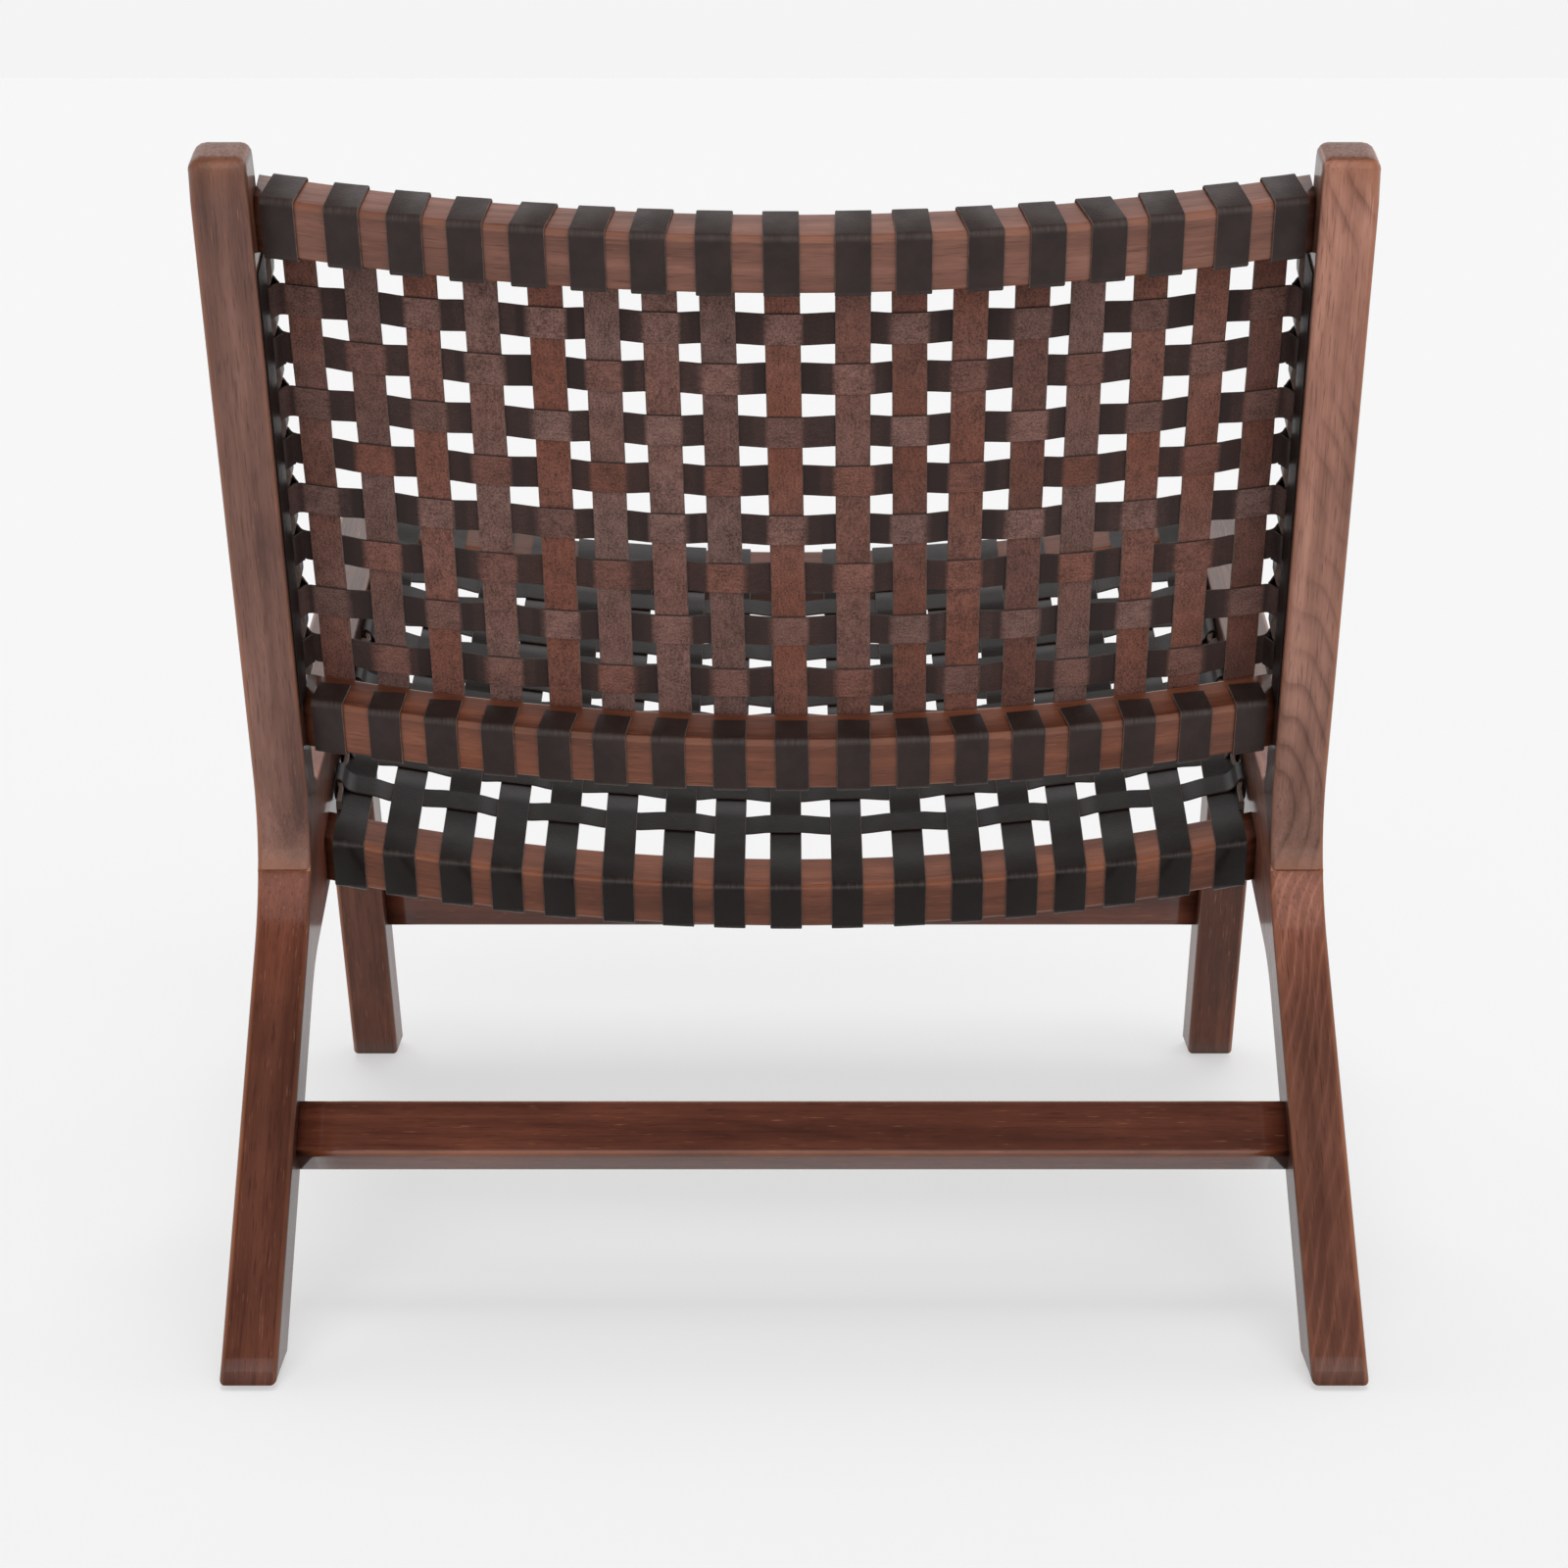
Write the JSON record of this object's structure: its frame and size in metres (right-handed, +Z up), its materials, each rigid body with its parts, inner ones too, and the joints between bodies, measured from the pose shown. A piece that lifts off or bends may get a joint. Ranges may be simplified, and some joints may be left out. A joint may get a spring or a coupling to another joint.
{
  "type": "lounge chair",
  "caption": "Low armless lounge chair: wooden side frames, bowed cross rails, and a reclined back and seat woven from leather straps.",
  "frame": {"origin": "on the floor, under the middle of the overall box", "axes": "+Z up, the front of the chair towards -Y, the sitter's left towards +X"},
  "size_m": [0.64, 0.719, 0.6812],
  "materials": {
    "wood": "satin stained hardwood",
    "warp_leather": "smooth dark strap leather, suede on the back",
    "weft_leather": "smooth dark strap leather, suede on the back",
    "glide": "matte"
  },
  "bodies": {
    "root": {"back_post_left": "wood", "rear_leg_left": "wood", "seat_side_rail_left": "wood", "front_leg_left": "wood", "rear_foot_glide_left": "glide", "front_foot_glide_left": "glide", "back_post_right": "wood", "rear_leg_right": "wood", "seat_side_rail_right": "wood", "front_leg_right": "wood", "rear_foot_glide_right": "glide", "front_foot_glide_right": "glide", "rear_stretcher": "wood", "front_stretcher": "wood", "back_bottom_rail": "wood", "back_top_rail": "wood", "seat_front_rail": "wood", "seat_rear_rail": "wood", "back_warp_01": "warp_leather", "back_warp_02": "warp_leather", "back_warp_03": "warp_leather", "back_warp_04": "warp_leather", "back_warp_05": "warp_leather", "back_warp_06": "warp_leather", "back_warp_07": "warp_leather", "back_warp_08": "warp_leather", "back_warp_09": "warp_leather", "back_warp_10": "warp_leather", "back_warp_11": "warp_leather", "back_warp_12": "warp_leather", "back_warp_13": "warp_leather", "back_warp_14": "warp_leather", "back_warp_15": "warp_leather", "back_warp_16": "warp_leather", "back_warp_17": "warp_leather", "back_weft_lattice": "weft_leather", "seat_warp_01": "warp_leather", "seat_warp_02": "warp_leather", "seat_warp_03": "warp_leather", "seat_warp_04": "warp_leather", "seat_warp_05": "warp_leather", "seat_warp_06": "warp_leather", "seat_warp_07": "warp_leather", "seat_warp_08": "warp_leather", "seat_warp_09": "warp_leather", "seat_warp_10": "warp_leather", "seat_warp_11": "warp_leather", "seat_warp_12": "warp_leather", "seat_warp_13": "warp_leather", "seat_warp_14": "warp_leather", "seat_warp_15": "warp_leather", "seat_warp_16": "warp_leather", "seat_warp_17": "warp_leather", "seat_weft_lattice": "weft_leather"}
  },
  "joints": []
}
